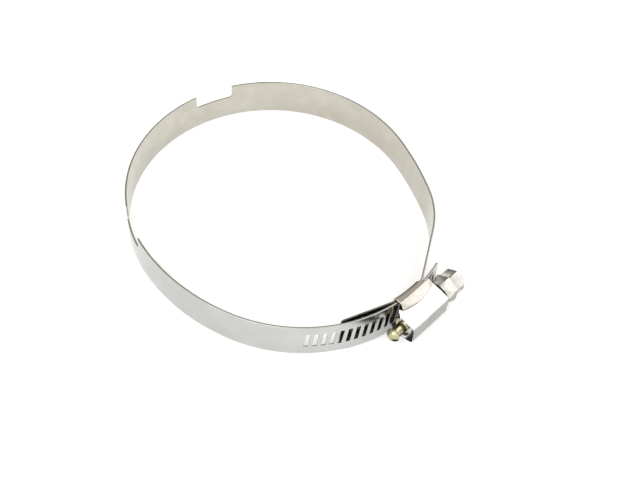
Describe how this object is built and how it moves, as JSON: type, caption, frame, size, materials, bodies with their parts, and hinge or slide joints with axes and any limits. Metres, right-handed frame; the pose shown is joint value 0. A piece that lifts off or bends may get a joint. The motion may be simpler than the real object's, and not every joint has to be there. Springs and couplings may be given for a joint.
{
  "type": "worm-drive hose clamp",
  "caption": "Worm-drive hose clamp: a slotted steel band closed into a ring by a hex-headed screw in a housing held by a folded saddle.",
  "frame": {"origin": "centre of the clamped bore at the middle of the band's width", "axes": "+Z along the hose, +X along the screw towards its head, the housing on the -Y side"},
  "size_m": [0.0937, 0.112, 0.015],
  "materials": {
    "band_steel": "plain rolled stainless strip",
    "saddle_steel": "plain pressed stainless sheet",
    "housing_steel": "bright pressed stainless sheet",
    "screw_zinc": "bright zinc plate with a faint yellow tint"
  },
  "bodies": {
    "clamp_base": {"band_fixed_end": "band_steel", "saddle": "saddle_steel", "housing": "housing_steel"},
    "slotted_end": {"band_slotted_end": "band_steel"},
    "worm": {"worm_screw": "screw_zinc"},
    "link_01": {"band_link_01": "band_steel"},
    "link_02": {"band_link_02": "band_steel"},
    "link_03": {"band_link_03": "band_steel"},
    "link_04": {"band_link_04": "band_steel"},
    "link_05": {"band_link_05": "band_steel"},
    "link_06": {"band_link_06": "band_steel"},
    "link_07": {"band_link_07": "band_steel"},
    "link_08": {"band_link_08": "band_steel"},
    "link_09": {"band_link_09": "band_steel"},
    "link_10": {"band_link_10": "band_steel"},
    "link_11": {"band_link_11": "band_steel"}
  },
  "joints": [
    {"name": "worm_turn", "type": "hinge", "parent": "clamp_base", "child": "worm", "pos_m": [0, -0.06085, 0], "axis": [-1, 0, 0], "range_deg": [-360, 2160]},
    {"name": "band_travel", "type": "hinge", "parent": "clamp_base", "child": "slotted_end", "pos_m": [0.0016, -0.0095, 0], "axis": [0, 0, 1], "range_deg": [-3.11, 18.39]},
    {"name": "band_flex_01", "type": "hinge", "parent": "slotted_end", "child": "link_01", "pos_m": [-0.03539, -0.03946, 0], "axis": [0, 0, 1], "range_deg": [-2.88, 0.5]},
    {"name": "band_flex_02", "type": "hinge", "parent": "link_01", "child": "link_02", "pos_m": [-0.04531, -0.01822, 0], "axis": [0, 0, 1], "range_deg": [-1.85, 0.33]},
    {"name": "band_flex_03", "type": "hinge", "parent": "link_02", "child": "link_03", "pos_m": [-0.04611, 0.00529, 0], "axis": [0, 0, 1], "range_deg": [-1.27, 0.23]},
    {"name": "band_flex_04", "type": "hinge", "parent": "link_03", "child": "link_04", "pos_m": [-0.03755, 0.02709, 0], "axis": [0, 0, 1], "range_deg": [-1.01, 0.18]},
    {"name": "band_flex_05", "type": "hinge", "parent": "link_04", "child": "link_05", "pos_m": [-0.0195, 0.04199, 0], "axis": [0, 0, 1], "range_deg": [-0.99, 0.18]},
    {"name": "band_flex_06", "type": "hinge", "parent": "link_05", "child": "link_06", "pos_m": [0.00353, 0.04617, 0], "axis": [0, 0, 1], "range_deg": [-1.1, 0.2]},
    {"name": "band_flex_07", "type": "hinge", "parent": "link_06", "child": "link_07", "pos_m": [0.02565, 0.03854, 0], "axis": [0, 0, 1], "range_deg": [-1.23, 0.22]},
    {"name": "band_flex_08", "type": "hinge", "parent": "link_07", "child": "link_08", "pos_m": [0.04122, 0.02108, 0], "axis": [0, 0, 1], "range_deg": [-1.36, 0.24]},
    {"name": "band_flex_09", "type": "hinge", "parent": "link_08", "child": "link_09", "pos_m": [0.04627, -0.00178, 0], "axis": [0, 0, 1], "range_deg": [-1.62, 0.29]},
    {"name": "band_flex_10", "type": "hinge", "parent": "link_09", "child": "link_10", "pos_m": [0.03997, -0.0244, 0], "axis": [0, 0, 1], "range_deg": [-2.17, 0.38]},
    {"name": "band_flex_11", "type": "hinge", "parent": "link_10", "child": "link_11", "pos_m": [0.02669, -0.04371, 0], "axis": [0, 0, 1], "range_deg": [-3.08, 0.53]}
  ],
  "couplings": [
    {"joint": "band_travel", "follows": "worm_turn", "ratio": 0.0084927},
    {"joint": "band_flex_01", "follows": "worm_turn", "ratio": -0.0013249},
    {"joint": "band_flex_02", "follows": "worm_turn", "ratio": -0.00084927},
    {"joint": "band_flex_03", "follows": "worm_turn", "ratio": -0.0005775},
    {"joint": "band_flex_04", "follows": "worm_turn", "ratio": -0.00045861},
    {"joint": "band_flex_05", "follows": "worm_turn", "ratio": -0.00045011},
    {"joint": "band_flex_06", "follows": "worm_turn", "ratio": -0.00050107},
    {"joint": "band_flex_07", "follows": "worm_turn", "ratio": -0.00056052},
    {"joint": "band_flex_08", "follows": "worm_turn", "ratio": -0.00061997},
    {"joint": "band_flex_09", "follows": "worm_turn", "ratio": -0.00073886},
    {"joint": "band_flex_10", "follows": "worm_turn", "ratio": -0.00099365},
    {"joint": "band_flex_11", "follows": "worm_turn", "ratio": -0.0014183}
  ]
}
